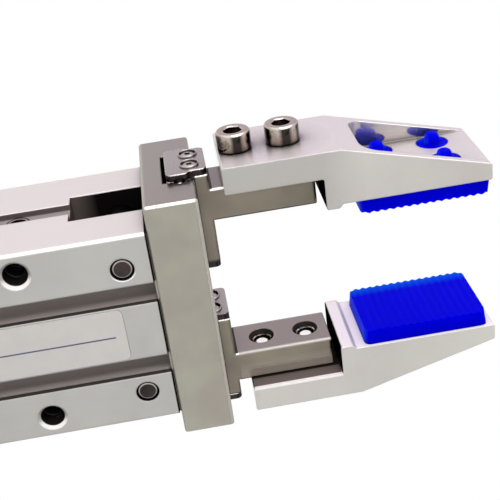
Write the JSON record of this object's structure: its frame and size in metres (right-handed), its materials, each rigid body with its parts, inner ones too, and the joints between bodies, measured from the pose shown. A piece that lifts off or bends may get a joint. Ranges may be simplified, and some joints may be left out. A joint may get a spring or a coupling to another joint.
{
  "type": "pneumatic parallel gripper",
  "caption": "Pneumatic parallel gripper whose piston drives guided fingers through bell cranks, with tapered jaws that carry ribbed soft pads.",
  "frame": {"origin": "centre of the rear mounting face, on the axis of the locating bore", "axes": "+Z the way the fingers point; X the way the fingers travel; -Y out of the labelled wide face"},
  "size_m": [0.047, 0.0237, 0.0923],
  "materials": {
    "anodised_body": "clear anodised, satin",
    "ground_steel": "ground",
    "black_screw_steel": "black oxide",
    "label_film": "bare printed film",
    "cover_aluminium": "turned",
    "black_rubber": "moulded",
    "bumper_rubber": "moulded",
    "spring_steel": "phosphated",
    "piston_aluminium": "turned",
    "magnet_compound": "bonded magnet",
    "screw_steel": "bright stainless",
    "rod_chrome": "hard chromed",
    "pin_steel": "hardened",
    "black_steel": "black oxide",
    "plate_screw_steel": "bright stainless",
    "ball_steel": "polished",
    "anodised_jaw": "clear anodised, fine blasted",
    "blue_silicone": "translucent silicone"
  },
  "bodies": {
    "frame": {"body": "anodised_body", "guide_head": "ground_steel", "head_screws": "black_screw_steel", "label": "label_film", "lever_pin_right": "pin_steel", "lever_pin_left": "pin_steel", "rod_cover": "cover_aluminium", "rod_seal": "black_rubber", "cover_ring": "black_rubber", "front_bumper": "bumper_rubber", "rear_bumper": "bumper_rubber", "rear_cap": "cover_aluminium", "cap_ring": "black_rubber", "retaining_ring": "spring_steel"},
    "piston": {"piston": "piston_aluminium", "piston_rod": "rod_chrome", "piston_nut": "screw_steel", "piston_seal": "black_rubber", "piston_magnet": "magnet_compound"},
    "lever_right": {"lever_right": "black_steel"},
    "finger_right": {"finger_right": "ground_steel", "outer_plate_right": "ground_steel", "inner_plate_right": "ground_steel", "plate_screws_right": "plate_screw_steel", "balls_right": "ball_steel", "jaw_right": "anodised_jaw", "jaw_screws_right": "screw_steel", "pad_right": "blue_silicone"},
    "lever_left": {"lever_left": "black_steel"},
    "finger_left": {"finger_left": "ground_steel", "outer_plate_left": "ground_steel", "inner_plate_left": "ground_steel", "plate_screws_left": "plate_screw_steel", "balls_left": "ball_steel", "jaw_left": "anodised_jaw", "jaw_screws_left": "screw_steel", "pad_left": "blue_silicone"}
  },
  "joints": [
    {"name": "right_finger_slide", "type": "slide", "parent": "frame", "child": "finger_right", "axis": [-1, 0, 0], "range_m": [0, 0.003]},
    {"name": "left_finger_slide", "type": "slide", "parent": "frame", "child": "finger_left", "axis": [1, 0, 0], "range_m": [0, 0.003]},
    {"name": "piston_slide", "type": "slide", "parent": "frame", "child": "piston", "axis": [0, 0, -1], "range_m": [0, 0.00247]},
    {"name": "right_lever_turn", "type": "hinge", "parent": "frame", "child": "lever_right", "pos_m": [0.0103, 0, 0.0385], "axis": [0, -1, 0], "range_deg": [0, 20.33]},
    {"name": "left_lever_turn", "type": "hinge", "parent": "frame", "child": "lever_left", "pos_m": [-0.0103, 0, 0.0385], "axis": [0, 1, 0], "range_deg": [0, 20.33]}
  ],
  "couplings": [
    {"joint": "left_finger_slide", "follows": "right_finger_slide", "ratio": 1},
    {"joint": "piston_slide", "follows": "right_finger_slide", "ratio": 0.82353},
    {"joint": "right_lever_turn", "follows": "right_finger_slide", "rad_per_m": 118.27},
    {"joint": "left_lever_turn", "follows": "right_finger_slide", "rad_per_m": 118.27}
  ]
}
